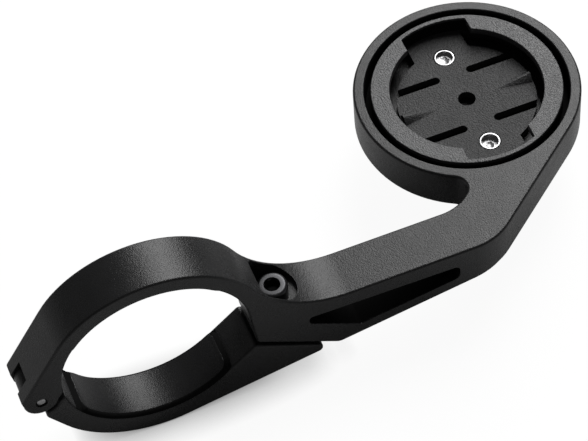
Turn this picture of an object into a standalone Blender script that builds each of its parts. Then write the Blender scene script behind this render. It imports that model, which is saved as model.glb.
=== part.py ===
# Out-front mount for a handlebar: a hinged clamp, a cantilever arm, and a round head with a twist-lock
# insert.
# X runs along the bar, +Y points forward from the bar to the head and +Z is up, square to the head.
# The origin is on the bar's axis, half way across the clamp.
import math

import bmesh
import bpy
from mathutils import Matrix

MM = 0.001

# Clamp
BAR_BORE_R = 17.0 * MM        # inside of the clamp at its rims
LAND_HEIGHT = 0.75 * MM       # how far the two grip lands stand out of the bore
LAND_MARGIN = 0.12 * MM       # rim left beside a land's sloped edge
LAND_CORNER_R = 2.1 * MM
UPPER_LAND_DEG = (39.0, 150.0)
JAW_LAND_DEG = (206.0, 318.0)
UPPER_WALL = 3.1 * MM         # wall of the upper half
JAW_WALL = 4.1 * MM           # wall of the hinged jaw
CLAMP_WIDTH = 9.4 * MM        # along the bar
EDGE_ROUND = 0.45 * MM        # moulded edges

# Split at the front of the clamp
SPLIT_AHEAD = 0.7 * MM        # from the bore's front to where the split starts
SPLIT_Z = -6.9 * MM
SPLIT_SLOPE_DEG = 30.4        # falls this much towards the front
SPLIT_GAP = 0.8 * MM
NOSE_LENGTH = 17.4 * MM       # of the upper half, along the split
NOSE_R = 1.9 * MM
JAW_NOSE_R = 1.0 * MM
JAW_UNDERSIDE_DEG = 10.0

# Hinge
PIN_BEHIND = 4.05 * MM        # from the bore's rear to the pin's axis
PIN_Z = -1.6 * MM
PIN_R = 0.9 * MM
PIN_FIT = 0.06 * MM           # radial, in the ears
PIN_CLEARANCE = 0.1 * MM      # radial, in the jaw's knuckle
PIN_RECESS = 0.12 * MM        # from each side face
PIN_MOUTH = 0.2 * MM          # how much wider each hole starts
EAR_R = 3.1 * MM
EAR_LEAN = 0.2 * MM           # how far the ears' back leans out at the top
EAR_LEAN_RISE = 1.1 * MM      # height of that place above the pin
KNUCKLE_R = 2.9 * MM
KNUCKLE_WIDTH = 3.6 * MM
HINGE_SIDE_GAP = 0.2 * MM     # between knuckle and ears
HINGE_SWING_GAP = 0.45 * MM   # round the ears and the knuckle
SLOT_TOP = 4.2 * MM           # height of the hinge slot above the pin
SLOT_CREST_BEHIND = 1.4 * MM  # from the pin back to where the slot's roof starts to rise
UPPER_END_Z = -0.9 * MM       # where the upper half ends at the bore
UPPER_END_DEG = -12.0         # direction, seen from the pin, in which the upper half ends
JAW_END_DEG = -24.0
JAW_HEEL_AHEAD = 0.3 * MM     # the heel's upright back, ahead of the pin's axis
JAW_HEEL_DEG = 211.87         # direction in which the round outside runs out straight to the heel
JAW_HEEL_R = 0.6 * MM

# Arm
TOP_Z = -2.0 * MM             # flat top of the arm and of the head
ROOT_FILLET_R = 19.4 * MM     # from the clamp's shell down to the flat top
UNDERSIDE_RISE_DEG = 9.6
NECK_BEND_BACK = 13.3 * MM    # behind the head's centre, on the outer side
NECK_BEND_R = 12.0 * MM
NECK_SWEEP_BACK = 15.9 * MM   # behind the head's centre, on the inner side
NECK_SWEEP_R = 8.5 * MM
NECK_FILLET_R = 2.6 * MM
WINDOW_TOP_WEB = 3.0 * MM     # above the window at its rear end
WINDOW_TOP_SLOPE_DEG = 1.5
WINDOW_LOW_WEB = 2.6 * MM     # below the window, square to the underside
WINDOW_SPLIT_WEB = 5.0 * MM   # between the window and the split
WINDOW_START = 10.4 * MM      # ahead of the bore
WINDOW_END_BACK = 16.4 * MM   # behind the head's centre
WINDOW_REAR_R = 0.75 * MM
WINDOW_FRONT_R = 1.2 * MM

# Head
HEAD_ASIDE = 3.7 * MM         # from the arm's side to the head's round wall
HEAD_AHEAD = 55.4 * MM        # from the bore's front to the head's centre
HEAD_R = 21.0 * MM
HEAD_RIM = 2.05 * MM          # wall round the insert
HEAD_FLOOR = 2.6 * MM
HEAD_CHAMFER = 0.2 * MM

# Twist-lock insert
INSERT_DROP = 0.1 * MM        # below the head's rim
INSERT_FIT = 0.25 * MM        # radial, in the head
INSERT_SEAT_GAP = 0.25 * MM
INSERT_GROOVE = 1.0 * MM      # ledge between collar and flange
INSERT_GROOVE_DEPTH = 2.0 * MM
INSERT_WALL = 2.1 * MM
LIP_OVERHANG = 2.4 * MM
LIP_THICKNESS = 1.3 * MM
LUG_ENTRY_RELIEF = 0.2 * MM   # how far the entries cut into the wall
LUG_ENTRY_WIDTH = 12.9 * MM
SEAT_DEPTH = 3.4 * MM         # from the lips' top to the floor
PLATE_THICKNESS = 1.6 * MM
TONGUE_ROOM = 0.45 * MM       # below the floor, for the tongues to spring into
PLATE_GAP = 3.65 * MM         # between the floor's edge and the wall
BRIDGE_WIDTH = 10.8 * MM      # floor that joins the plate to the wall
TONGUE_SLOT_X = 6.3 * MM
TONGUE_SLOT_WIDTH = 1.65 * MM
TONGUE_SLOT_START = 2.7 * MM
DETENT_LENGTH = 6.9 * MM
DETENT_HEIGHT = 0.9 * MM
DETENT_WIDTH = 2.8 * MM
DETENT_CREST = 0.7 * MM
CENTRE_HOLE_R = 1.65 * MM

# Screws and nuts
CLAMP_SCREW_AHEAD = 5.75 * MM # from the bore's front to the screw's axis
CLAMP_SCREW_TOP_Z = 1.85 * MM
CLAMP_SCREW_HEAD_R = 2.75 * MM
CLAMP_SCREW_HEAD = 3.0 * MM
CLAMP_SCREW_R = 1.5 * MM      # thread crest, which the nut's bore is drawn to
CLAMP_SCREW_CORE_R = 1.2 * MM # thread root, which the shank is drawn to
CLAMP_SCREW_KEY = 2.5 * MM
CLAMP_SCREW_KEY_DEPTH = 1.6 * MM
CLAMP_SCREW_CHAMFER = 0.45 * MM
CLAMP_NUT_WIDTH = 5.5 * MM
CLAMP_NUT_HEIGHT = 2.4 * MM
CLAMP_NUT_COVER = 0.1 * MM    # the nut's highest corner lies this far below the jaw's face
SCREW_PAST_NUT = 0.35 * MM
NUT_LEAD = 0.22 * MM          # the nut sits this far forward, so that it swings off the screw freely
HOLE_CLEARANCE = 0.2 * MM
SEAT_GAP = 0.15 * MM
NUT_GAP = 0.12 * MM
POCKET_FRONT_GAP = 1.6 * MM   # round the clamp screw's head, in front
POCKET_SIDE_WALL = 0.7 * MM
POCKET_REAR_GAP = 0.12 * MM
POCKET_CORNER_R = 1.2 * MM
INSERT_SCREW_INSET = 5.77 * MM
INSERT_SCREW_TURN_DEG = -1.1  # from the line across the lug entries
INSERT_SCREW_HEAD_R = 1.95 * MM
INSERT_SCREW_HEAD = 1.3 * MM
INSERT_SCREW_R = 1.25 * MM
INSERT_SCREW_CORE_R = 1.0 * MM
INSERT_SCREW_KEY = 2.2 * MM
INSERT_SCREW_KEY_DEPTH = 0.9 * MM
INSERT_SCREW_CHAMFER = 0.12 * MM
INSERT_NUT_WIDTH = 5.0 * MM
INSERT_NUT_HEIGHT = 1.6 * MM
INSERT_BOSS_R = 3.3 * MM

# Worked out from the driving dimensions
HALF_WIDTH = CLAMP_WIDTH / 2
SHELL_R = BAR_BORE_R + UPPER_WALL
JAW_R = BAR_BORE_R + JAW_WALL
PIN = (-BAR_BORE_R - PIN_BEHIND, PIN_Z)
SPLIT_START = (BAR_BORE_R + SPLIT_AHEAD, SPLIT_Z)
HEAD_X = -HALF_WIDTH - HEAD_ASIDE - HEAD_R
HEAD = (HEAD_X, BAR_BORE_R + HEAD_AHEAD)
CLAMP_SCREW_Y = BAR_BORE_R + CLAMP_SCREW_AHEAD
CLAMP_NUT = (0, CLAMP_SCREW_Y + NUT_LEAD)
INSERT_TOP_Z = TOP_Z - INSERT_DROP
SEAT_Z = INSERT_TOP_Z - SEAT_DEPTH
INSERT_BASE_Z = SEAT_Z - PLATE_THICKNESS - TONGUE_ROOM
HEAD_FLOOR_Z = INSERT_BASE_Z - INSERT_SEAT_GAP
HEAD_BOTTOM_Z = HEAD_FLOOR_Z - HEAD_FLOOR
HEAD_BORE_R = HEAD_R - HEAD_RIM
INSERT_R = HEAD_BORE_R - INSERT_FIT
LUG_TRACK_R = INSERT_R - INSERT_WALL
LIP_R = LUG_TRACK_R - LIP_OVERHANG
PLATE_R = LUG_TRACK_R - PLATE_GAP
INSERT_SCREW_OUT = LUG_TRACK_R - INSERT_SCREW_INSET
ARC_STEP_DEG = 4.0
SMALL_STEP_DEG = 15.0
FAR = 60.0 * MM               # reach of a cutter past what it cuts


def polar(centre, radius, degrees):
    angle = math.radians(degrees)
    return centre[0] + radius * math.cos(angle), centre[1] + radius * math.sin(angle)


def arc(centre, radius, start, end, step=ARC_STEP_DEG):
    count = max(2, math.ceil(abs(end - start) / step))
    return [polar(centre, radius, start + (end - start) * i / count) for i in range(count + 1)]


def offset_point(point, direction_deg, distance):
    return polar(point, distance, direction_deg)


def meeting(point_a, deg_a, point_b, deg_b):
    """Where two lines cross, each given by a point and a direction."""
    ax, ay = math.cos(math.radians(deg_a)), math.sin(math.radians(deg_a))
    bx, by = math.cos(math.radians(deg_b)), math.sin(math.radians(deg_b))
    dx, dy = point_b[0] - point_a[0], point_b[1] - point_a[1]
    along = (dx * by - dy * bx) / (ax * by - ay * bx)
    return point_a[0] + along * ax, point_a[1] + along * ay


def rounded(before, corner, after, radius, step=SMALL_STEP_DEG):
    """The arc that rounds a corner between two straight lines."""
    into = math.atan2(corner[1] - before[1], corner[0] - before[0])
    out = math.atan2(after[1] - corner[1], after[0] - corner[0])
    turn = (out - into + math.pi) % (2 * math.pi) - math.pi
    back = radius * math.tan(abs(turn) / 2)
    side = math.copysign(math.pi / 2, turn)
    start = (corner[0] - back * math.cos(into), corner[1] - back * math.sin(into))
    centre = (start[0] + radius * math.cos(into + side), start[1] + radius * math.sin(into + side))
    first = math.degrees(into - side)
    return arc(centre, radius, first, first + math.degrees(turn), step)


def rounded_outline(corners, radius, step=SMALL_STEP_DEG):
    count = len(corners)
    points = []
    for i, corner in enumerate(corners):
        points += rounded(corners[i - 1], corner, corners[(i + 1) % count], radius, step)
    return points


def tangent_angle(point, radius, side):
    """Angle, on a circle round the origin, of the tangent point of a line through the given point."""
    return direction((0, 0), point) + side * math.degrees(math.acos(radius / math.hypot(*point)))


def circle_crossing(centre_a, radius_a, centre_b, radius_b, side):
    """Where two circles cross, to the left (1) or to the right (-1) of the line from a to b."""
    dx, dy = centre_b[0] - centre_a[0], centre_b[1] - centre_a[1]
    distance = math.hypot(dx, dy)
    cosine = (radius_a ** 2 + distance ** 2 - radius_b ** 2) / (2 * radius_a * distance)
    heading = math.degrees(math.atan2(dy, dx))
    return polar(centre_a, radius_a, heading + side * math.degrees(math.acos(cosine)))


def direction(start, end):
    """Heading from one point to another, in degrees from 0 to 360."""
    return math.degrees(math.atan2(end[1] - start[1], end[0] - start[0])) % 360


def clear_scene():
    for obj in list(bpy.data.objects):
        bpy.data.objects.remove(obj, do_unlink=True)


def make_collection(name):
    collection = bpy.data.collections.new(name)
    bpy.context.scene.collection.children.link(collection)
    return collection


def make_material(name, color, roughness, metallic=0.0):
    material = bpy.data.materials.new(name)
    material.use_nodes = True
    shader = material.node_tree.nodes["Principled BSDF"]
    shader.inputs["Base Color"].default_value = (*color, 1.0)
    shader.inputs["Roughness"].default_value = roughness
    shader.inputs["Metallic"].default_value = metallic
    return material


def mesh_object(name, mesh_data, collection):
    obj = bpy.data.objects.new(name, mesh_data)
    collection.objects.link(obj)
    if collection is tools:
        obj.hide_render = True
        obj.display_type = "WIRE"
    return obj


def object_from_bmesh(name, work, collection, matrix=None):
    if matrix is not None:
        bmesh.ops.transform(work, matrix=matrix, verts=work.verts)
    bmesh.ops.recalc_face_normals(work, faces=work.faces)
    mesh = bpy.data.meshes.new(name)
    work.to_mesh(mesh)
    work.free()
    return mesh_object(name, mesh, collection)


# The outline's plane turned so that the extrusion runs along X (outline in y, z) or along Z (in x, y)
PLANES = {
    "X": Matrix(((0, 0, 1, 0), (1, 0, 0, 0), (0, 1, 0, 0), (0, 0, 0, 1))),
    "Z": Matrix.Identity(4),
}


def prism(name, outline, axis, low, high, collection):
    """A flat outline extruded from low to high along the axis."""
    work = bmesh.new()
    base = work.faces.new([work.verts.new((u, v, low)) for u, v in outline])
    for item in bmesh.ops.extrude_face_region(work, geom=[base])["geom"]:
        if isinstance(item, bmesh.types.BMVert):
            item.co.z = high
    return object_from_bmesh(name, work, collection, PLANES[axis])


def cylinder(name, radius, low, high, collection, centre=(0.0, 0.0), axis="Z", sides=48):
    work = bmesh.new()
    bmesh.ops.create_cone(
        work, cap_ends=True, segments=sides, radius1=radius, radius2=radius, depth=high - low
    )
    matrix = PLANES[axis] @ Matrix.Translation((*centre, (low + high) / 2))
    return object_from_bmesh(name, work, collection, matrix)


def hexagon(name, width, low, high, collection, centre):
    return cylinder(name, width / math.sqrt(3), low, high, collection, centre, sides=6)


def turned(name, profile, collection, centre=(0.0, 0.0), steps=96):
    """A closed profile of radius and height, spun round the vertical axis."""
    mesh = bpy.data.meshes.new(name)
    edges = [(i, (i + 1) % len(profile)) for i in range(len(profile))]
    if profile[0][0] == 0 and profile[-1][0] == 0:
        edges.pop()
    mesh.from_pydata([(r, 0, z) for r, z in profile], edges, [])
    obj = mesh_object(name, mesh, collection)
    obj.location = (*centre, 0)
    screw = obj.modifiers.new("Turn", "SCREW")
    screw.steps = steps
    screw.render_steps = steps
    screw.use_merge_vertices = True
    screw.merge_threshold = 0.002 * MM
    return obj


def boolean(target, tool, operation, solver="EXACT"):
    modifier = target.modifiers.new(tool.name, "BOOLEAN")
    modifier.operation = operation
    modifier.solver = solver
    modifier.object = tool


def cut(target, tool, solver="EXACT"):
    boolean(target, tool, "DIFFERENCE", solver)


def join(target, tool):
    boolean(target, tool, "UNION")


def round_edges(target, width, limit_deg=50.0, segments=2):
    merge = target.modifiers.new("Merged flats", "DECIMATE")
    merge.decimate_type = "DISSOLVE"
    merge.angle_limit = math.radians(0.3)
    bevel = target.modifiers.new("Rounded edges", "BEVEL")
    bevel.width = width
    bevel.segments = segments
    bevel.limit_method = "ANGLE"
    bevel.angle_limit = math.radians(limit_deg)
    bevel.use_clamp_overlap = False


def set_origin(obj, point):
    """Moves the object's origin, and leaves its shape where it is."""
    obj.data.transform(Matrix.Translation(point).inverted())
    obj.location = point


def finish(obj, material):
    obj.data.materials.clear()
    obj.data.materials.append(material)
    obj.data.shade_smooth()
    obj.data.set_sharp_from_angle(angle=math.radians(30))


def split_point(distance, below=0.0):
    """A point on the split, measured from the bore, or this far below it."""
    start = offset_point(SPLIT_START, -SPLIT_SLOPE_DEG - 90, below)
    return offset_point(start, -SPLIT_SLOPE_DEG, distance)


def split_height(y, below=0.0):
    start = split_point(0, below)
    return start[1] - (y - start[0]) * math.tan(math.radians(SPLIT_SLOPE_DEG))


def land(name, span_deg, collection):
    """A raised grip pad, made flat with sloped edges and then wrapped round the bore."""
    start, end = (math.radians(a) for a in span_deg)
    length = (end - start) * BAR_BORE_R
    half = HALF_WIDTH - LAND_MARGIN
    depth = 0.6 * MM
    corners = [(0, -half), (length, -half), (length, half), (0, half)]
    outline = rounded_outline(corners, LAND_CORNER_R, 22.5)
    work = bmesh.new()
    base = work.faces.new([work.verts.new((u, v, -depth)) for u, v in outline])
    foot = bmesh.ops.extrude_face_region(work, geom=[base])
    lifted = [v for v in foot["geom"] if isinstance(v, bmesh.types.BMVert)]
    bmesh.ops.translate(work, verts=lifted, vec=(0, 0, depth))
    top = [f for f in foot["geom"] if isinstance(f, bmesh.types.BMFace)]
    bmesh.ops.inset_region(work, faces=top, thickness=LAND_HEIGHT, depth=LAND_HEIGHT)
    cuts = math.ceil(math.degrees(end - start) / ARC_STEP_DEG)
    for i in range(1, cuts):
        geometry = work.verts[:] + work.edges[:] + work.faces[:]
        bmesh.ops.bisect_plane(
            work, geom=geometry, plane_co=(length * i / cuts, 0, 0), plane_no=(1, 0, 0)
        )
    for vert in work.verts:
        angle = start + vert.co.x / BAR_BORE_R
        radius = BAR_BORE_R - vert.co.z
        vert.co = (vert.co.y, radius * math.cos(angle), radius * math.sin(angle))
    return object_from_bmesh(name, work, collection)


def upper_side_profile():
    """Side view, in y and z, of the upper clamp half, the arm and the head's slab."""
    fillet_z = TOP_Z + ROOT_FILLET_R
    fillet_y = math.sqrt((SHELL_R + ROOT_FILLET_R) ** 2 - fillet_z ** 2)
    shell_front = math.degrees(math.atan2(fillet_z, fillet_y))
    heel = (PIN[0] - EAR_R - EAR_LEAN, PIN_Z + EAR_LEAN_RISE)
    shell_back = tangent_angle(heel, SHELL_R, -1)
    points = arc((0, 0), SHELL_R, shell_back, shell_front)
    points += arc((fillet_y, fillet_z), ROOT_FILLET_R, 180 + shell_front, 270)[1:]
    far_y = HEAD[1] + HEAD_R + FAR
    points += [(far_y, TOP_Z), (far_y, HEAD_BOTTOM_Z)]
    nose = split_point(NOSE_LENGTH)
    rise = math.tan(math.radians(UNDERSIDE_RISE_DEG))
    rise_end = (nose[0] + (HEAD_BOTTOM_Z - nose[1]) / rise, HEAD_BOTTOM_Z)
    points.append(rise_end)
    points += rounded(rise_end, nose, SPLIT_START, NOSE_R)
    points.append(SPLIT_START)
    bore_front = tangent_angle(SPLIT_START, BAR_BORE_R, 1) - 360
    bore_back = direction((0, 0), (-BAR_BORE_R, UPPER_END_Z))
    points += arc((0, 0), BAR_BORE_R, bore_front, bore_back)
    points += arc(PIN, EAR_R, UPPER_END_DEG, -180, SMALL_STEP_DEG)
    points.append(heel)
    return points


def window_profile():
    """The opening through the arm, in y and z."""
    nose = split_point(NOSE_LENGTH)
    top_rear = (BAR_BORE_R + WINDOW_START, TOP_Z - WINDOW_TOP_WEB)
    end = (HEAD[1] - WINDOW_END_BACK, 0)
    split_line = offset_point(SPLIT_START, 90 - SPLIT_SLOPE_DEG, WINDOW_SPLIT_WEB)
    low_line = offset_point(nose, 90 + UNDERSIDE_RISE_DEG, WINDOW_LOW_WEB)
    low_rear = meeting(top_rear, 90, split_line, -SPLIT_SLOPE_DEG)
    low_corner = meeting(split_line, -SPLIT_SLOPE_DEG, low_line, UNDERSIDE_RISE_DEG)
    low_front = meeting(low_line, UNDERSIDE_RISE_DEG, end, 90)
    top_front = meeting(top_rear, -WINDOW_TOP_SLOPE_DEG, end, 90)
    # A low window has smaller corners.
    rear_r = min(WINDOW_REAR_R, (top_rear[1] - low_rear[1]) * 0.6)
    front_r = min(WINDOW_FRONT_R, (top_front[1] - low_front[1]) * 0.45)
    points = rounded(top_front, top_rear, low_rear, rear_r, 22.5)
    points += rounded(top_rear, low_rear, low_corner, rear_r, 22.5)
    points += rounded(low_rear, low_corner, low_front, rear_r, 22.5)
    points += rounded(low_corner, low_front, top_front, front_r)
    points += rounded(low_front, top_front, top_rear, front_r)
    return points


def plan_outline():
    """Top view, in x and y, of the clamp, the arm, its bent neck and the round head."""
    side = HALF_WIDTH
    # The outer side bends and then runs straight to the head's circle.
    bend = (side - NECK_BEND_R, HEAD[1] - NECK_BEND_BACK)
    lean = math.degrees(math.acos((NECK_BEND_R - HEAD_R) / math.dist(bend, HEAD)))
    touch = direction(bend, HEAD) - lean
    # The inner side sweeps out and turns back into the head's circle.
    sweep = (-side - NECK_SWEEP_R, HEAD[1] - NECK_SWEEP_BACK)
    fillet = circle_crossing(sweep, NECK_SWEEP_R - NECK_FILLET_R, HEAD, HEAD_R + NECK_FILLET_R, -1)
    turn = direction(sweep, fillet)
    inner = direction(HEAD, fillet)
    rear_y = PIN[0] - EAR_R - FAR / 10
    points = [(-side, rear_y), (side, rear_y)]
    points += arc(bend, NECK_BEND_R, 0, touch, 5)
    points += arc(HEAD, HEAD_R, touch, inner, 3.6)
    points += arc(fillet, NECK_FILLET_R, inner - 180, turn, 12)[1:]
    points += arc(sweep, NECK_SWEEP_R, turn, 0, 6)[1:]
    return points


def screw_pocket():
    """Well for the clamp screw's head: flat behind, round in front and open at the top."""
    front_r = CLAMP_SCREW_HEAD_R + POCKET_FRONT_GAP
    half = min(HALF_WIDTH - POCKET_SIDE_WALL, front_r)
    rear = CLAMP_SCREW_Y - CLAMP_SCREW_HEAD_R - POCKET_REAR_GAP
    side = math.degrees(math.acos(half / front_r))
    points = arc((0, CLAMP_SCREW_Y), front_r, side, 180 - side, 10)
    points += rounded(points[-1], (-half, rear), (half, rear), POCKET_CORNER_R)
    points += rounded((-half, rear), (half, rear), points[0], POCKET_CORNER_R)
    floor = CLAMP_SCREW_TOP_Z - CLAMP_SCREW_HEAD - SEAT_GAP
    return prism("screw_pocket", points, "Z", floor, FAR, tools)


def head_well():
    """The round well that holds the insert, with a chamfered rim."""
    over = FAR / 10
    profile = [
        (0, TOP_Z + over),
        (HEAD_BORE_R + HEAD_CHAMFER, TOP_Z + over),
        (HEAD_BORE_R + HEAD_CHAMFER, TOP_Z),
        (HEAD_BORE_R, TOP_Z - HEAD_CHAMFER),
        (HEAD_BORE_R, HEAD_FLOOR_Z),
        (0, HEAD_FLOOR_Z),
    ]
    return turned("head_well", profile, tools, HEAD)


def hinge_slot():
    """Clears the jaw's knuckle between the two ears."""
    half = KNUCKLE_WIDTH / 2 + HINGE_SIDE_GAP
    sweep = EAR_R + HINGE_SWING_GAP
    low, rear = PIN_Z - 3 * EAR_R, PIN[0] - 3 * EAR_R
    points = arc(PIN, sweep, 78, -40, SMALL_STEP_DEG)
    points += [(PIN[0] + sweep, low), (rear, low), (rear, PIN_Z + SLOT_TOP + EAR_R)]
    points.append((PIN[0] - SLOT_CREST_BEHIND, PIN_Z + SLOT_TOP))
    return prism("hinge_slot", points, "X", -half, half, tools)


def build_mount_body():
    left = HEAD_X - HEAD_R - FAR / 10
    body = prism("mount_body", upper_side_profile(), "X", left, FAR / 6, part)
    boolean(body, prism("plan", plan_outline(), "Z", -FAR, FAR, tools), "INTERSECT")
    # The arm's underside slopes, but the head's underside is flat all round.
    right = -HALF_WIDTH - NECK_SWEEP_R / 2
    rear = HEAD[1] - HEAD_R - FAR / 10
    relief = [(left, rear), (right, rear), (right, HEAD[1]), (left, HEAD[1])]
    cut(body, prism("head_underside", relief, "Z", -FAR, HEAD_BOTTOM_Z, tools))
    round_edges(body, EDGE_ROUND)
    join(body, land("upper_land", UPPER_LAND_DEG, tools))
    reach = HALF_WIDTH + NECK_FILLET_R
    cut(body, prism("arm_window", window_profile(), "X", -reach, reach, tools))
    cut(body, head_well())
    cut(body, screw_pocket())
    screw_hole = CLAMP_SCREW_R + HOLE_CLEARANCE
    cut(body, cylinder("body_screw_hole", screw_hole, -FAR, 0, tools, (0, CLAMP_SCREW_Y), sides=32))
    cut(body, hinge_slot())
    cut(body, cylinder("ear_holes", PIN_R + PIN_FIT, -FAR, FAR, tools, PIN, "X", 24))
    mouth = HALF_WIDTH - 2 * PIN_RECESS
    cut(body, cylinder("near_mouth", PIN_R + PIN_MOUTH, mouth, FAR, tools, PIN, "X", 24))
    cut(body, cylinder("far_mouth", PIN_R + PIN_MOUTH, -FAR, -mouth, tools, PIN, "X", 24))
    for name, centre in insert_screw_places():
        hole = cylinder(f"{name}_head_hole", INSERT_SCREW_R + NUT_GAP, -FAR, TOP_Z, tools, centre, sides=24)
        cut(body, hole, "MANIFOLD")
        ceiling = HEAD_BOTTOM_Z + INSERT_NUT_HEIGHT + NUT_GAP
        width = INSERT_NUT_WIDTH + 2 * NUT_GAP
        cut(body, hexagon(f"{name}_nut_seat", width, -FAR, ceiling, tools, centre), "MANIFOLD")
    return body


def insert_screw_places():
    left = polar(HEAD, INSERT_SCREW_OUT, 180 + INSERT_SCREW_TURN_DEG)
    right = polar(HEAD, INSERT_SCREW_OUT, INSERT_SCREW_TURN_DEG)
    return [("left", left), ("right", right)]


def jaw_profile():
    """Side view, in y and z, of the hinged jaw without its knuckle."""
    sweep = EAR_R + HINGE_SWING_GAP
    start = split_point(0, SPLIT_GAP)
    underside = 270 + JAW_UNDERSIDE_DEG
    belly = polar((0, 0), JAW_R, underside)
    tip = meeting(start, -SPLIT_SLOPE_DEG, belly, JAW_UNDERSIDE_DEG)
    heel_top = (PIN[0] + JAW_HEEL_AHEAD, PIN[1] - math.sqrt(sweep ** 2 - JAW_HEEL_AHEAD ** 2))
    touch = polar((0, 0), JAW_R, JAW_HEEL_DEG)
    heel = meeting(touch, JAW_HEEL_DEG + 90, heel_top, 90)
    heel_r = min(JAW_HEEL_R, heel_top[1] - heel[1])
    points = [start]
    points += rounded(start, tip, belly, JAW_NOSE_R, 23)
    points += arc((0, 0), JAW_R, underside, JAW_HEEL_DEG)
    points += rounded(touch, heel, heel_top, heel_r, 22.5)
    points += arc(PIN, sweep, direction(PIN, heel_top) - 360, JAW_END_DEG, SMALL_STEP_DEG)
    bore_back = direction((0, 0), (points[-1][0], points[-1][1] + SPLIT_GAP))
    points += arc((0, 0), BAR_BORE_R, bore_back, tangent_angle(start, BAR_BORE_R, -1))
    return points


def jaw_knuckle():
    """The jaw's middle knuckle with the neck that carries it."""
    points = arc(PIN, KNUCKLE_R, -10, 262, SMALL_STEP_DEG)
    points += arc((0, 0), JAW_R - 0.1 * MM, 195, 201, 3)
    points += arc((0, 0), BAR_BORE_R + 0.4 * MM, 201, 189)
    half = KNUCKLE_WIDTH / 2
    return prism("jaw_knuckle", points, "X", -half, half, tools)


def clamp_nut_top():
    """The nut lies square to the screw, below the sloping face of the jaw."""
    front_corner = CLAMP_NUT[1] + CLAMP_NUT_WIDTH / math.sqrt(3)
    return split_height(front_corner, SPLIT_GAP) - CLAMP_NUT_COVER


def build_jaw():
    jaw = prism("hinged_jaw", jaw_profile(), "X", -HALF_WIDTH, HALF_WIDTH, part)
    round_edges(jaw, EDGE_ROUND)
    join(jaw, jaw_knuckle())
    join(jaw, land("jaw_land", JAW_LAND_DEG, tools))
    cut(jaw, cylinder("knuckle_hole", PIN_R + PIN_CLEARANCE, -FAR, FAR, tools, PIN, "X", 24))
    hole = CLAMP_SCREW_R + HOLE_CLEARANCE
    cut(jaw, cylinder("jaw_screw_hole", hole, -FAR, 0, tools, CLAMP_NUT, sides=32))
    seat = clamp_nut_top() - CLAMP_NUT_HEIGHT - NUT_GAP
    cut(jaw, hexagon("clamp_nut_seat", CLAMP_NUT_WIDTH + 2 * NUT_GAP, seat, 0, tools, CLAMP_NUT))
    set_origin(jaw, (0, *PIN))
    return jaw


def nut(name, width, height, top, bore, centre):
    obj = hexagon(name, width, top - height, top, part, centre)
    over = height
    cut(obj, cylinder(f"{name}_bore", bore, top - height - over, top + over, tools, centre, sides=24))
    return obj


def socket_screw(name, centre, top, head_r, head_height, core_r, end, key, key_depth, chamfer):
    """A cylinder-head screw with a hexagon socket, its thread drawn at core size."""
    profile = [
        (0, top),
        (head_r - chamfer, top),
        (head_r, top - chamfer),
        (head_r, top - head_height),
        (core_r, top - head_height),
        (core_r, end + core_r / 3),
        (core_r * 2 / 3, end),
        (0, end),
    ]
    obj = turned(name, profile, part, centre, 48)
    mouth = key / math.sqrt(3) * 1.12
    lip = chamfer / 2
    flare = [(0, top + lip), (mouth + lip, top + lip), (mouth - lip, top - lip), (0, top - lip)]
    cut(obj, turned(f"{name}_mouth", flare, tools, centre, 48))
    cut(obj, hexagon(f"{name}_socket", key, top - key_depth, top + chamfer, tools, centre))
    return obj


def build_hinge_pin():
    half = HALF_WIDTH - PIN_RECESS
    pin = cylinder("hinge_pin", PIN_R, -half, half, part, PIN, "X", 24)
    round_edges(pin, 0.25 * PIN_R, 60, 1)
    return pin


def detent(side):
    """The ramp that a lug snaps over, at a tongue's free end."""
    end = PLATE_R * 0.985
    foot = SEAT_Z - PLATE_THICKNESS / 2
    half = DETENT_WIDTH / 2
    crest = DETENT_CREST / 2
    start = PLATE_R - DETENT_LENGTH
    points = [(x, start, z) for x in (-crest / 2, crest / 2) for z in (foot, SEAT_Z)]
    points += [(x, end, z) for x in (-half, half) for z in (foot, SEAT_Z)]
    points += [(x, end, SEAT_Z + DETENT_HEIGHT) for x in (-crest, crest)]
    work = bmesh.new()
    for x, y, z in points:
        work.verts.new((x, y * side, z))
    hull = bmesh.ops.convex_hull(work, input=work.verts)
    bmesh.ops.delete(work, geom=hull["geom_interior"], context="VERTS")
    return object_from_bmesh("detent", work, tools, Matrix.Translation((*HEAD, 0)))


def lug_entry():
    """The two openings in the lips through which the lugs drop."""
    radius = LUG_TRACK_R + LUG_ENTRY_RELIEF
    reach = math.degrees(math.asin(LUG_ENTRY_WIDTH / 2 / radius))
    points = arc(HEAD, radius, -reach, reach, 5) + arc(HEAD, radius, 180 - reach, 180 + reach, 5)
    return prism("lug_entry", points, "Z", SEAT_Z, FAR, tools)


def insert_plate():
    """The round floor, joined to the wall by a bridge at each lug entry."""
    half = BRIDGE_WIDTH / 2
    lean = math.degrees(math.asin(half / PLATE_R))
    end = LUG_TRACK_R + INSERT_WALL / 3
    right, left = HEAD_X + end, HEAD_X - end
    back, front = HEAD[1] - half, HEAD[1] + half
    points = [(right, back), (right, front)] + arc(HEAD, PLATE_R, lean, 180 - lean)
    points += [(left, front), (left, back)] + arc(HEAD, PLATE_R, 180 + lean, 360 - lean)
    return prism("insert_plate", points, "Z", SEAT_Z - PLATE_THICKNESS, SEAT_Z, tools)


def tongue_slot(x, side):
    """A slot beside a tongue, round at its inner end and open at the plate's edge."""
    half = TONGUE_SLOT_WIDTH / 2
    start = (HEAD_X + x, HEAD[1] + side * (TONGUE_SLOT_START + half))
    end_y = HEAD[1] + side * (LUG_TRACK_R - MM)
    turn = 180 if side > 0 else 0
    points = arc(start, half, turn, turn + 180, 30)
    points += [(points[-1][0], end_y), (points[0][0], end_y)]
    return prism("tongue_slot", points, "Z", INSERT_BASE_Z, SEAT_Z + LIP_THICKNESS, tools)


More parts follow.
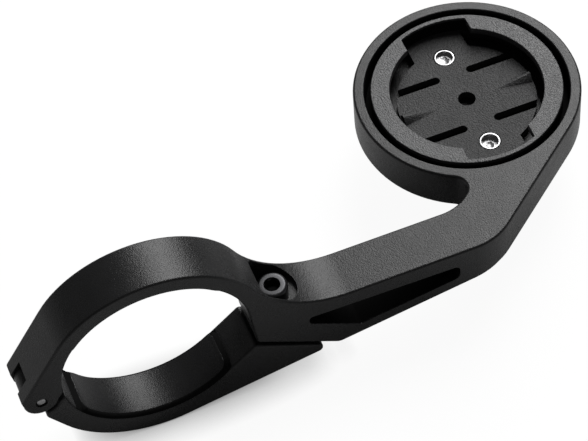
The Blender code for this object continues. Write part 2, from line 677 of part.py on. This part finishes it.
def build_insert():
    collar_r = INSERT_R - INSERT_GROOVE
    profile = [
        (LIP_R, INSERT_TOP_Z),
        (collar_r, INSERT_TOP_Z),
        (collar_r, INSERT_TOP_Z - INSERT_GROOVE_DEPTH),
        (INSERT_R, INSERT_TOP_Z - INSERT_GROOVE_DEPTH),
        (INSERT_R, INSERT_BASE_Z),
        (LUG_TRACK_R, INSERT_BASE_Z),
        (LUG_TRACK_R, INSERT_TOP_Z - LIP_THICKNESS),
        (LIP_R, INSERT_TOP_Z - LIP_THICKNESS),
    ]
    insert = turned("twist_lock_insert", profile, part, HEAD)
    cut(insert, lug_entry())
    join(insert, insert_plate())
    for side in (-1, 1):
        for x in (-TONGUE_SLOT_X, TONGUE_SLOT_X):
            cut(insert, tongue_slot(x, side))
        join(insert, detent(side))
    cut(insert, cylinder("centre_hole", CENTRE_HOLE_R, -FAR, TOP_Z, tools, HEAD, sides=32))
    middle = SEAT_Z - PLATE_THICKNESS / 2
    seat = SEAT_Z - INSERT_SCREW_HEAD - NUT_GAP
    for name, centre in insert_screw_places():
        boss = cylinder(f"{name}_boss", INSERT_BOSS_R, INSERT_BASE_Z, middle, tools, centre, sides=32)
        join(insert, boss)
        hole = cylinder(f"{name}_hole", INSERT_SCREW_R + NUT_GAP, -FAR, TOP_Z, tools, centre, sides=24)
        cut(insert, hole)
        head_room = INSERT_SCREW_HEAD_R + NUT_GAP
        cut(insert, cylinder(f"{name}_seat", head_room, seat, TOP_Z, tools, centre, sides=32))
    return insert


clear_scene()
part = make_collection("out_front_mount")
tools = make_collection("cutters")

moulded = make_material("moulded_plastic", (0.035, 0.035, 0.037), 0.5)
insert_plastic = make_material("insert_plastic", (0.06, 0.06, 0.062), 0.6)
dark_steel = make_material("blackened_steel", (0.18, 0.18, 0.18), 0.35, 1.0)
bright_steel = make_material("bright_steel", (0.75, 0.75, 0.76), 0.2, 1.0)

finish(build_mount_body(), moulded)
finish(build_jaw(), moulded)
finish(build_hinge_pin(), bright_steel)
nut_top = clamp_nut_top()
clamp_nut = nut("clamp_nut", CLAMP_NUT_WIDTH, CLAMP_NUT_HEIGHT, nut_top, CLAMP_SCREW_R, CLAMP_NUT)
finish(clamp_nut, dark_steel)
screw_end = nut_top - CLAMP_NUT_HEIGHT - SCREW_PAST_NUT
clamp_screw = socket_screw(
    "clamp_screw", (0, CLAMP_SCREW_Y), CLAMP_SCREW_TOP_Z, CLAMP_SCREW_HEAD_R, CLAMP_SCREW_HEAD,
    CLAMP_SCREW_CORE_R, screw_end, CLAMP_SCREW_KEY, CLAMP_SCREW_KEY_DEPTH, CLAMP_SCREW_CHAMFER,
)
finish(clamp_screw, bright_steel)
finish(build_insert(), insert_plastic)
for name, centre in insert_screw_places():
    insert_screw = socket_screw(
        f"insert_screw_{name}", centre, SEAT_Z, INSERT_SCREW_HEAD_R, INSERT_SCREW_HEAD,
        INSERT_SCREW_CORE_R, HEAD_BOTTOM_Z + NUT_GAP, INSERT_SCREW_KEY, INSERT_SCREW_KEY_DEPTH,
        INSERT_SCREW_CHAMFER,
    )
    finish(insert_screw, bright_steel)
    top = HEAD_BOTTOM_Z + INSERT_NUT_HEIGHT
    screw_nut = nut(f"insert_nut_{name}", INSERT_NUT_WIDTH, INSERT_NUT_HEIGHT, top, INSERT_SCREW_R, centre)
    finish(screw_nut, bright_steel)
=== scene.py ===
import math

import bmesh
import bpy
from mathutils import Euler, Matrix, Vector


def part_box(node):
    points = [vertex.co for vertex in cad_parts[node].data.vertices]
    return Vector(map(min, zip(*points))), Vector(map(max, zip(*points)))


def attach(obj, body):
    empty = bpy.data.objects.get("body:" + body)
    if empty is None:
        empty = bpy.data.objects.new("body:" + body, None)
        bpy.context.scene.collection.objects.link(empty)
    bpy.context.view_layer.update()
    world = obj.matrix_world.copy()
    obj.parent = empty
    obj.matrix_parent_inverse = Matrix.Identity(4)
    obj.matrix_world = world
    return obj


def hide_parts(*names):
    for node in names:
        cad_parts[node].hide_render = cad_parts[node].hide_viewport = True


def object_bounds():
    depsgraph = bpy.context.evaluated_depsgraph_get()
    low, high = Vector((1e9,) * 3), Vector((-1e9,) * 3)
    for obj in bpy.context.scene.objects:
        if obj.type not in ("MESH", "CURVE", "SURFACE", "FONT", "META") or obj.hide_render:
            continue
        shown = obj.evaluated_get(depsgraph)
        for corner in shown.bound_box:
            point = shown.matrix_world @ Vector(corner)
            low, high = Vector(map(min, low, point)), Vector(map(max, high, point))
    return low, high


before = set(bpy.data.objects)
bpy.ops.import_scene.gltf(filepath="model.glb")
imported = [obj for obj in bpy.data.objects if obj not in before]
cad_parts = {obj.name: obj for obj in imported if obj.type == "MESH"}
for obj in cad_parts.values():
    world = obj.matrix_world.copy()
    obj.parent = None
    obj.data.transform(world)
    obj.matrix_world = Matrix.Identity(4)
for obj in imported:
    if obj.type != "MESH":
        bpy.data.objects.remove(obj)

# An out-front mount for a handlebar, dressed for a plain studio picture.
# Metres throughout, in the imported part's own frame: X along the bar, Y forward, Z up.
cadBox = [list(corner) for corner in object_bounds()]
mm = 0.001
nearby = 0.05 * mm
headCentre = (-29.4 * mm, 72.4 * mm)
print("frame loaded:", ", ".join(sorted(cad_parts)))


# Shader sums
class Signal:
    # one output of a shader node; sums on it add Math nodes
    def __init__(self, tree, socket):
        self.tree = tree
        self.socket = socket

    def node(self, kind, settings, values, out=0):
        # any other node: its settings first, then the values or links of its sockets
        made = self.tree.nodes.new(kind)
        for name, value in settings.items():
            setattr(made, name, value)
        for name, value in values.items():
            if isinstance(value, Signal):
                self.tree.links.new(value.socket, made.inputs[name])
            else:
                made.inputs[name].default_value = value
        return Signal(self.tree, made.outputs[out] if made.outputs else None)

    def sum(self, operation, first, second):
        return self.node("ShaderNodeMath", {"operation": operation}, {0: first, 1: second})

    def __add__(self, other):
        return self.sum("ADD", self, other)

    def __mul__(self, other):
        return self.sum("MULTIPLY", self, other)

    def __sub__(self, other):
        return self.sum("SUBTRACT", self, other)

    def __rsub__(self, other):
        return self.sum("SUBTRACT", other, self)

    __radd__ = __add__
    __rmul__ = __mul__


def startMaterial(name, **fixed):
    # a Principled material with its constant sockets set, its shader and the start of its sums
    material = bpy.data.materials.new(name)
    material.use_nodes = True
    shader = material.node_tree.nodes["Principled BSDF"]
    for socket, value in fixed.items():
        shader.inputs[socket.replace("_", " ")].default_value = value
    place = material.node_tree.nodes.new("ShaderNodeTexCoord")
    return material, shader, Signal(material.node_tree, place.outputs["Object"])


def feed(shader, socket, signal):
    signal.tree.links.new(signal.socket, shader.inputs[socket])


def noise(place, size, detail=2.0):
    # cloudy noise with blobs of about the given size
    return place.node(
        "ShaderNodeTexNoise",
        {"noise_dimensions": "3D"},
        {"Vector": place, "Scale": 1 / size, "Detail": detail, "Roughness": 0.5},
    )


def grey(signal, blueShare=1.0):
    # a shade made a colour, with its blue a share of the other two
    return signal.node(
        "ShaderNodeCombineColor",
        {"mode": "RGB"},
        {"Red": signal, "Green": signal, "Blue": signal * blueShare},
    )


def bump(height):
    # surface detail from a height in metres
    return height.node("ShaderNodeBump", {}, {"Strength": 1.0, "Distance": 1.0, "Height": height})


# Materials
bodyPlastic = {
    "shade": 0.02,
    "shadeFloor": 0.7,
    "shadeSpread": 0.3,
    "blueShare": 1.03,
    "gloss": 0.345,
    "grainSize": 0.21 * mm,
    "grainDepth": 0.048 * mm,
    "pitSize": 0.09 * mm,
    "pitDepth": 0.012 * mm,
    "mottleSize": 3.5 * mm,
    "roughness": 0.29,
    "roughnessSpread": 0.16,
    # the dark colour of the painted shade, then the zones where it is painted: the ring gap, the
    # lands' feet and tops and the window's inside
    "paintedShadeTone": (0.012, 0.012, 0.012, 1.0),
    "gap": {
        "flat": (1, 1, 0),
        "centre": (*headCentre, 0),
        "inner": 17.6 * mm,
        "outer": 19.1 * mm,
        "limits": [((0, 0, 1), -2.9 * mm)],
    },
    "landFoot": {
        "flat": (0, 1, 1),
        "centre": (0, 0, 0),
        "inner": 16.32 * mm,
        "outer": 17.12 * mm,
        "limits": [((0, 0.009, 1), -7.05 * mm), ((1, 0, 0), 4.66 * mm), ((-1, 0, 0), 4.66 * mm)],
    },
    "landTop": {
        "flat": (0, 1, 1),
        "centre": (0, 0, 0),
        "inner": 16.0 * mm,
        "outer": 16.32 * mm,
        "limits": [((1, 0, 0), 4.66 * mm), ((-1, 0, 0), 4.66 * mm)],
    },
    # how much painted shade lies on the lands' tops, dimming their highlight
    "landTopShade": 0.22,
    # between the arm's sides, its rear and front, its top and its two lower edges
    "windowInside": [
        ((1, 0, 0), 4.5 * mm),
        ((-1, 0, 0), 4.5 * mm),
        ((0, -1, 0), -27.2 * mm),
        ((0, 1, 0), 56.2 * mm),
        ((0, 0, 1), -4.7 * mm),
        ((0, 0.169, -1), 19.84 * mm),
        ((0, -0.587, -1), -7.0 * mm),
    ],
}
insertPlasticLook = dict(
    bodyPlastic, shade=0.06, gloss=0.8, grainSize=0.3 * mm, grainDepth=0.16 * mm, roughness=0.42
)
# painted shade on the walls of the lug track under the lips
insertPlasticLook["trackWall"] = dict(
    bodyPlastic["gap"],
    inner=16.3 * mm,
    outer=17.3 * mm,
    limits=[((0, 0, 1), -2.6 * mm), ((0, 0, -1), 5.4 * mm)],
)
# painted shade that deepens from the lips' height down to the insert's floor
insertPlasticLook["sunk"] = {"top": -2.3 * mm, "bottom": -5.5 * mm, "paintedShadeMask": 0.56}


def within(place, limits):
    # 1 where the place stays under every limit along its direction
    inside = None
    for direction, limit in limits:
        reach = place.node(
            "ShaderNodeVectorMath", {"operation": "DOT_PRODUCT"}, {0: place, 1: direction}, 1
        )
        step = reach.sum("LESS_THAN", reach, limit)
        inside = inside * step if inside else step
    return inside


def shell(place, look):
    # 1 between two radii round a line through the centre
    flat = place.node(
        "ShaderNodeVectorMath", {"operation": "MULTIPLY"}, {0: place, 1: look["flat"]}
    )
    radius = flat.node(
        "ShaderNodeVectorMath", {"operation": "DISTANCE"}, {0: flat, 1: look["centre"]}, 1
    )
    outside = radius.sum("GREATER_THAN", radius, look["inner"])
    inside = radius.sum("LESS_THAN", radius, look["outer"])
    return outside * inside * within(place, look["limits"])


def blackPlastic(name, look):
    material, shader, place = startMaterial(
        name, Metallic=0.0, Specular_IOR_Level=look["gloss"]
    )
    grain = noise(place, look["grainSize"])
    pits = noise(place, look["pitSize"], detail=1.0)
    mottle = noise(place, look["mottleSize"], detail=3.0)
    shade = look["shade"] * (look["shadeFloor"] + look["shadeSpread"] * (mottle + grain))
    feed(shader, "Base Color", grey(shade, look["blueShare"]))
    roughness = look["roughness"] + look["roughnessSpread"] * (grain + mottle - 1)
    feed(shader, "Roughness", roughness)
    feed(shader, "Normal", bump(grain * look["grainDepth"] + pits * look["pitDepth"]))

    # painted shade: a dark matte shader mixed over the ring gap, the lands' feet and lightly
    # their tops, the window's inside and the sunk parts, where the object lies in shade
    paintedShadeMask = shell(place, look["gap"])
    paintedShadeMask = paintedShadeMask.sum("MAXIMUM", paintedShadeMask, shell(place, look["landFoot"]))
    paintedShadeMask = paintedShadeMask.sum("MAXIMUM", paintedShadeMask, look["landTopShade"] * shell(place, look["landTop"]))
    paintedShadeMask = paintedShadeMask.sum("MAXIMUM", paintedShadeMask, within(place, look["windowInside"]))
    if "sunk" in look:
        sunk = look["sunk"]
        paintedShadeMask = paintedShadeMask.sum("MAXIMUM", paintedShadeMask, shell(place, look["trackWall"]))
        # painted shade, darker towards the insert's floor under the lips
        height = place.node("ShaderNodeSeparateXYZ", {}, {"Vector": place}, 2)
        depth = height.node(
            "ShaderNodeMapRange",
            {"interpolation_type": "SMOOTHSTEP"},
            {"Value": height, "From Min": sunk["top"], "From Max": sunk["bottom"]},
        )
        paintedShadeMask = paintedShadeMask.sum("MAXIMUM", paintedShadeMask, sunk["paintedShadeMask"] * depth)
    glossy = Signal(place.tree, shader.outputs[0])
    paintedShadeTone = place.node("ShaderNodeBsdfDiffuse", {}, {"Color": look["paintedShadeTone"]})
    mixed = place.node("ShaderNodeMixShader", {}, {0: paintedShadeMask, 1: glossy, 2: paintedShadeTone})
    feed(place.tree.nodes["Material Output"], "Surface", mixed)
    return material


steelLook = {
    "shade": (0.45, 0.45, 0.455, 1.0),
    "roughness": 0.33,
    "roughnessSpread": 0.12,
    "brushSize": 0.12 * mm,
    "brushDepth": 0.002 * mm,
}
darkSteelLook = dict(steelLook, shade=(0.066, 0.066, 0.069, 1.0), roughness=0.36)


def steel(name, look):
    material, shader, place = startMaterial(name, Metallic=1.0, Base_Color=look["shade"])
    fine = noise(place, look["brushSize"], detail=3.0)
    feed(shader, "Roughness", look["roughness"] + look["roughnessSpread"] * (fine - 0.5))
    feed(shader, "Normal", bump(fine * look["brushDepth"]))
    return material


mouldedPlastic = blackPlastic("moulded plastic", bodyPlastic)
insertPlastic = blackPlastic("insert plastic", insertPlasticLook)
brightSteel = steel("bright steel", steelLook)
darkSteel = steel("blackened steel", darkSteelLook)
print("materials made")


# Shapes
sharpAngles = {"moulded": 50, "turned": 40}
welding = {"skinGap": 0.0005 * mm, "seamGap": 0.0002 * mm, "flatAngle": 0.2}
rounding = {"leastAngle": 35, "segments": 2}


def finishPiece(work, name, material, body, nodeName, making):
    # turns a bmesh into a piece that stands for a CAD node and rides on its body
    for face in work.faces:
        face.smooth = True
    sharpAngle = math.radians(sharpAngles[making])
    for edge in work.edges:
        edge.smooth = edge.calc_face_angle(0) < sharpAngle
    mesh = bpy.data.meshes.new(name)
    work.to_mesh(mesh)
    work.free()
    mesh.materials.append(material)
    piece = bpy.data.objects.new(name, mesh)
    bpy.context.scene.collection.objects.link(piece)
    flats = piece.modifiers.new("even flats", "WEIGHTED_NORMAL")
    flats.keep_sharp = True
    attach(piece, body)
    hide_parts(nodeName)


def weldedCopy(nodeName):
    # the CAD node's loose triangles, welded into one skin with its flats as single faces
    work = bmesh.new()
    work.from_mesh(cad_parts[nodeName].data)
    bmesh.ops.remove_doubles(work, verts=work.verts, dist=welding["skinGap"])
    flatAngle = math.radians(welding["flatAngle"])
    bmesh.ops.dissolve_limit(work, angle_limit=flatAngle, verts=work.verts, edges=work.edges)
    return work


def softenEdges(work, width, chosen):
    # rounds the sharp edges whose middles the chooser picks
    leastAngle = math.radians(rounding["leastAngle"])
    edges = []
    for edge in work.edges:
        middle = (edge.verts[0].co + edge.verts[1].co) / 2
        if edge.calc_face_angle(0) > leastAngle and chosen(middle):
            edges.append(edge)
    bmesh.ops.bevel(
        work, geom=edges, offset=width, offset_type="OFFSET", segments=rounding["segments"],
        profile=0.5, affect="EDGES", material=-1, clamp_overlap=True,
    )
    print("   softened", len(edges), "edges")


def turnPiece(profile, centre, steps, thread):
    # spins a profile of (radius, height, form) points round an upright axis through the centre;
    # a "hex" point keeps that radius at its flats, and a "thread" point follows the helix
    work = bmesh.new()
    formLayer = work.verts.layers.string.new("form")
    verts = [work.verts.new((radius, 0, height)) for radius, height, form in profile]
    for vert, (radius, height, form) in zip(verts, profile):
        vert[formLayer] = form.encode()
    edges = [work.edges.new(pair) for pair in zip(verts, verts[1:])]
    bmesh.ops.spin(
        work, geom=verts + edges, cent=(0, 0, 0), axis=(0, 0, 1), angle=math.tau,
        steps=steps, use_merge=True,
    )
    bmesh.ops.remove_doubles(work, verts=work.verts, dist=welding["seamGap"])
    for vert in work.verts:
        radius = math.hypot(vert.co.x, vert.co.y)
        form = vert[formLayer].decode()
        turn = math.atan2(vert.co.y, vert.co.x)
        scale = 1
        if form == "hex":
            scale = 1 / math.cos((turn - math.pi / 2) % (math.pi / 3) - math.pi / 6)
        elif form == "thread":
            phase = (vert.co.z / thread["pitch"] - turn / math.tau) % 1
            scale = 1 + thread["depth"] / radius * (1 - abs(2 * phase - 1))
        vert.co.x *= scale
        vert.co.y *= scale
    bmesh.ops.recalc_face_normals(work, faces=work.faces)
    bmesh.ops.translate(work, verts=work.verts, vec=(*centre, 0))
    return work


def threadPoints(core, top, end, thread):
    # the rings from which the turned piece draws its helix
    count = math.ceil((top - end) / thread["pitch"] * thread["rings"])
    return [(core, top + (end - top) * i / count, "thread") for i in range(count + 1)]


screwFinish = {
    "floorShare": 0.75,
    "floorEdge": 0.05 * mm,
    "mouthTaper": 0.03 * mm,
    "mouthEdge": 0.04 * mm,
    "seatEdge": 0.1 * mm,
    "neckDepth": 0.15 * mm,
    "threadStart": 0.2 * mm,
    "threadStop": 0.05 * mm,
    "tipLength": 0.3 * mm,
    "tipShare": 0.7,
}


def socketScrew(nodeName, look):
    # a screw with a rounded head, a mouth that narrows to a hexagon socket, and a threaded shank
    low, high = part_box(nodeName)
    centre = ((low[0] + high[0]) / 2, (low[1] + high[1]) / 2)
    head = (high[0] - low[0]) / 2
    top, end = high[2], low[2]
    under = top - look["headHeight"]
    edge, mouth, key, core = look["edge"], look["mouth"], look["key"] / 2, look["core"]
    mouthFloor = top - look["mouthDepth"]
    floor = top - look["keyDepth"]
    tip = end + screwFinish["tipLength"]
    seatEdge = screwFinish["seatEdge"]
    profile = [
        (0, floor - key / 3, ""),
        (key * screwFinish["floorShare"], floor, ""),
        (key, floor + screwFinish["floorEdge"], "hex"),
        (key, mouthFloor - look["flare"], "hex"),
        (mouth - screwFinish["mouthTaper"], mouthFloor, ""),
        (mouth, top - screwFinish["mouthEdge"], ""),
        (mouth + screwFinish["mouthEdge"], top, ""),
    ]
    for i in range(look["edgeSteps"] + 1):
        angle = math.pi / 2 * i / look["edgeSteps"]
        out, up = edge * math.sin(angle), edge * math.cos(angle)
        profile.append((head - edge + out, top - edge + up, ""))
    profile += [
        (head, under + seatEdge, ""),
        (head - seatEdge, under, ""),
        (core + seatEdge, under, ""),
        (core, under - screwFinish["neckDepth"], ""),
    ]
    threadTop, threadEnd = under - screwFinish["threadStart"], tip + screwFinish["threadStop"]
    profile += threadPoints(core, threadTop, threadEnd, look["thread"])
    profile += [(core, tip, ""), (core * screwFinish["tipShare"], end, ""), (0, end, "")]
    return turnPiece(profile, centre, look["steps"], look["thread"])


nutFinish = {"faceShare": 0.97, "coneAngle": 30, "leastOut": 0.01 * mm}


def hexNut(nodeName, look):
    # a hexagon nut with coned corners and a threaded bore
    low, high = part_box(nodeName)
    centre = ((low[0] + high[0]) / 2, (low[1] + high[1]) / 2)
    flat = (high[0] - low[0]) / 2
    top, end = high[2], low[2]
    bore, lead, cone = look["bore"], look["lead"], look["cone"]
    face = flat * nutFinish["faceShare"]
    profile = [
        (bore + lead, end, ""),
        (face, end, ""),
        (flat, end + cone, "hex"),
        (flat, top - cone, "hex"),
        (face, top, ""),
        (bore + lead, top, ""),
    ]
    bored = threadPoints(bore, top - lead, end + lead, look["thread"])
    work = turnPiece(profile + bored + profile[:1], centre, look["steps"], look["thread"])
    slope = math.tan(math.radians(nutFinish["coneAngle"]))
    for vert in work.verts:
        out = math.hypot(vert.co.x - centre[0], vert.co.y - centre[1]) - face
        if out > nutFinish["leastOut"]:
            rise = cone - out * slope
            vert.co.z += rise if vert.co.z > (top + end) / 2 else -rise
    return work


def ringDistance(point):
    # how far a point lies from the round head's axis
    return math.hypot(point.x - headCentre[0], point.y - headCentre[1])


def inZone(point, zone):
    # a zone is a low and a high limit for each of x, y and z
    return all(low < value < high for value, (low, high) in zip(point, zone))


# The moulded body
bodyLook = {
    "rimRound": 0.12 * mm,
    "well": {"rear": 19.5 * mm, "front": 27.3 * mm, "halfWidth": 4.1 * mm, "above": -1.2 * mm},
    "seat": {"radius": 18.95 * mm, "spread": 0.1 * mm, "above": -2.2 * mm},
    # where the stray points under the neck lie, and the place on its rim they go back to
    "hanging": [(-9.2 * mm, -8.7 * mm), (58 * mm, 62.6 * mm), (-11 * mm, -10.2 * mm)],
    "low": [(-9.2 * mm, -8.7 * mm), (63.5 * mm, 63.8 * mm), (-11 * mm, -10.45 * mm)],
    "rim": (-8.95 * mm, 63.4 * mm, -10.4 * mm),
}


def onOpenRim(middle):
    # the rim of the screw's well and the inner rim of the round head
    well, seat = bodyLook["well"], bodyLook["seat"]
    onWell = well["rear"] < middle.y < well["front"] and abs(middle.x) < well["halfWidth"]
    onSeat = abs(ringDistance(middle) - seat["radius"]) < seat["spread"]
    return (onWell and middle.z > well["above"]) or (onSeat and middle.z > seat["above"])


def tuckStrayPoints(work, look):
    # pulls the few points that hang out under the neck's inner bend back onto its rim
    for vert in work.verts:
        if inZone(vert.co, look["hanging"]):
            vert.co = look["rim"]
        elif inZone(vert.co, look["low"]):
            vert.co.z = look["rim"][2]


skin = weldedCopy("mount_body")
softenEdges(skin, bodyLook["rimRound"], onOpenRim)
tuckStrayPoints(skin, bodyLook)
finishPiece(
    skin, "mount_body_skin", mouldedPlastic, "mount", "mount_body", "moulded"
)

# The jaw
skin = weldedCopy("hinged_jaw")
finishPiece(
    skin, "hinged_jaw_skin", mouldedPlastic, "lower_jaw", "hinged_jaw", "moulded"
)

# The insert
insertLook = {
    "ledge": {"from": 17.6 * mm, "height": -4.1 * mm, "drop": 2.2 * mm},
    "detent": {"within": 13.5 * mm, "height": -4.6 * mm, "lift": 0.35 * mm},
    "lip": {"above": -2.2 * mm, "round": 0.16 * mm},
}


def onLip(middle):
    return middle.z > insertLook["lip"]["above"]


def deepenRing(work, look):
    # lowers the ledge round the seat so that the ring gap reads as a dark line
    for vert in work.verts:
        if ringDistance(vert.co) > look["from"] and abs(vert.co.z - look["height"]) < nearby:
            vert.co.z -= look["drop"]


def raiseDetents(work, look):
    # lifts the tips of the detent ramps so that they read from above
    for vert in work.verts:
        if ringDistance(vert.co) < look["within"] and abs(vert.co.z - look["height"]) < nearby:
            vert.co.z += look["lift"]


skin = weldedCopy("twist_lock_insert")
deepenRing(skin, insertLook["ledge"])
raiseDetents(skin, insertLook["detent"])
softenEdges(skin, insertLook["lip"]["round"], onLip)
finishPiece(
    skin, "twist_lock_insert_skin", insertPlastic, "mount", "twist_lock_insert",
    "moulded",
)

# The hinge pin
pinLook = {"round": 0.25 * mm}
skin = weldedCopy("hinge_pin")
softenEdges(skin, pinLook["round"], lambda middle: True)
finishPiece(skin, "hinge_pin_skin", brightSteel, "mount", "hinge_pin", "moulded")

# The clamp's screw and nut
clampScrewLook = {
    "headHeight": 3.0 * mm,
    "edge": 0.7 * mm,
    "edgeSteps": 8,
    "mouth": 1.45 * mm,
    "mouthDepth": 0.3 * mm,
    "flare": 0.15 * mm,
    "key": 2.5 * mm,
    "keyDepth": 2.5 * mm,
    "core": 1.2 * mm,
    "thread": {"pitch": 0.5 * mm, "depth": 0.22 * mm, "rings": 8},
    "steps": 72,
}
clampNutLook = {
    "bore": 1.46 * mm,
    "lead": 0.15 * mm,
    "cone": 0.3 * mm,
    "thread": {"pitch": 0.5 * mm, "depth": 0.2 * mm, "rings": 6},
    "steps": 72,
}
screw = socketScrew("clamp_screw", clampScrewLook)
finishPiece(screw, "cap_screw", darkSteel, "screw", "clamp_screw", "turned")
nut = hexNut("clamp_nut", clampNutLook)
finishPiece(nut, "captive_nut", darkSteel, "lower_jaw", "clamp_nut", "turned")

# The insert's screws and nuts; the right screw's socket is narrower and deeper
leftScrewLook = {
    "headHeight": 1.3 * mm,
    "edge": 0.12 * mm,
    "edgeSteps": 4,
    "mouth": 1.6 * mm,
    "mouthDepth": 0.95 * mm,
    "flare": 0.05 * mm,
    "key": 1.8 * mm,
    "keyDepth": 1.2 * mm,
    "core": 1.0 * mm,
    "thread": {"pitch": 0.45 * mm, "depth": 0.2 * mm, "rings": 8},
    "steps": 60,
}
rightScrewLook = dict(leftScrewLook, mouthDepth=1.2 * mm, key=1.5 * mm, keyDepth=1.45 * mm)
insertNutLook = dict(clampNutLook, bore=1.24 * mm, cone=0.25 * mm)
for side, look in [("left", leftScrewLook), ("right", rightScrewLook)]:
    nodeName = f"insert_screw_{side}"
    screw = socketScrew(nodeName, look)
    finishPiece(
        screw, f"small_screw_{side}", brightSteel, "mount", nodeName, "turned"
    )
    nodeName = f"insert_nut_{side}"
    nut = hexNut(nodeName, insertNutLook)
    finishPiece(nut, f"small_nut_{side}", brightSteel, "mount", nodeName, "turned")

# The CAD's own nodes carry the same looks
carriedLooks = {
    "mount_body": mouldedPlastic,
    "hinged_jaw": mouldedPlastic,
    "twist_lock_insert": insertPlastic,
    "clamp_screw": darkSteel,
    "clamp_nut": darkSteel,
}
for nodeName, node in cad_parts.items():
    node.data.materials.clear()
    node.data.materials.append(carriedLooks.get(nodeName, brightSteel))
print("pieces dressed")


# Studio
studio = {
    "floorSize": 4.0,
    "floorDrop": 0.1 * mm,
    "floorShade": 0.7,
    "floorSeenShade": 0.11,
    "floorLift": 0.945,
    "contactReach": 6 * mm,
    "contactShade": 0.95,
    "worldShade": 0.06,
    "glossShare": 0.05,
}
floorHeight = cadBox[0][2] - studio["floorDrop"]
floorWork = bmesh.new()
bmesh.ops.create_grid(floorWork, x_segments=1, y_segments=1, size=studio["floorSize"] / 2)
bmesh.ops.translate(floorWork, verts=floorWork.verts, vec=(0, 0, floorHeight))
floorMesh = bpy.data.meshes.new("studio_floor")
floorWork.to_mesh(floorMesh)
floorWork.free()
floor = bpy.data.objects.new("studio_floor", floorMesh)
bpy.context.scene.collection.objects.link(floor)


def seenMask(tree):
    # 1 where the camera looks straight at it, a little of it in mirrors and through glass
    rays = tree.nodes.new("ShaderNodeLightPath")
    camera = Signal(tree, rays.outputs["Is Camera Ray"])
    glossy = Signal(tree, rays.outputs["Is Glossy Ray"])
    through = Signal(tree, rays.outputs["Is Transmission Ray"])
    return camera, camera + studio["glossShare"] * (glossy + through)


floorMaterial = bpy.data.materials.new("pale floor")
floorMaterial.use_nodes = True
tree = floorMaterial.node_tree
tree.nodes.clear()
cameraRay, seen = seenMask(tree)
lighting, looking = (
    cameraRay.node("ShaderNodeBsdfDiffuse", {}, {"Color": (shade, shade, shade, 1.0)})
    for shade in (studio["floorShade"], studio["floorSeenShade"])
)
matte = cameraRay.node("ShaderNodeMixShader", {}, {0: cameraRay, 1: lighting, 2: looking})
# painted contact shadow: ambient occlusion darkens the floor's glow where the object comes near
# it
near = cameraRay.node(
    "ShaderNodeAmbientOcclusion", {"samples": 16}, {"Distance": studio["contactReach"]}, 1
)
contactShadow = 1 - studio["contactShade"] * (1 - near)
glow = cameraRay.node(
    "ShaderNodeEmission", {}, {"Color": grey(seen * contactShadow), "Strength": studio["floorLift"]}
)
floorLook = cameraRay.node("ShaderNodeAddShader", {}, {0: matte, 1: glow})
cameraRay.node("ShaderNodeOutputMaterial", {}, {"Surface": floorLook})
floor.data.materials.append(floorMaterial)

world = bpy.data.worlds.new("studio")
bpy.context.scene.world = world
world.use_nodes = True
background = world.node_tree.nodes["Background"]
background.inputs["Strength"].default_value = 1.0
cameraRay, seen = seenMask(world.node_tree)
level = seen * (1 - studio["worldShade"]) + studio["worldShade"]
world.node_tree.links.new(grey(level).socket, background.inputs["Color"])


keySoftbox = {
    "aim": (-0.012, 0.03, -0.005),
    "direction": (-0.573, 0.43, 0.7),
    "distance": 0.9,
    "width": 0.8,
    "height": 0.42,
    "radiance": 6.4,
}


def softbox(name, look):
    # an area lamp that faces the object from a direction, as bright as a panel of that radiance
    lamp = bpy.data.lights.new(name, "AREA")
    lamp.shape = "RECTANGLE"
    lamp.size, lamp.size_y = look["width"], look["height"]
    lamp.energy = look["radiance"] * math.pi * look["width"] * look["height"]
    stand = bpy.data.objects.new(name, lamp)
    bpy.context.scene.collection.objects.link(stand)
    way = Vector(look["direction"]).normalized()
    across = Vector((0, 1, 0)).cross(way).normalized()
    turn = Matrix((across, way.cross(across), way)).transposed()
    stand.location = Vector(look["aim"]) + way * look["distance"]
    stand.rotation_euler = turn.to_euler()


softbox("key_softbox", keySoftbox)
print("studio lit")


# Camera
view = {
    "place": (0.229446, -0.041404, 0.337922),
    "turn": (36.6425, 3.5258, 68.4695),
    "lens": 146.66,
    "sensor": 36.0,
    "clipStart": 0.01,
}
eye = bpy.data.cameras.new("photo_view")
eye.lens = view["lens"]
eye.sensor_width = view["sensor"]
eye.clip_start = view["clipStart"]
camera = bpy.data.objects.new("photo_view", eye)
bpy.context.scene.collection.objects.link(camera)
camera.location = view["place"]
camera.rotation_euler = Euler([math.radians(angle) for angle in view["turn"]], "XYZ")
bpy.context.scene.camera = camera
bpy.context.scene.view_settings.view_transform = "Standard"
print("camera set")
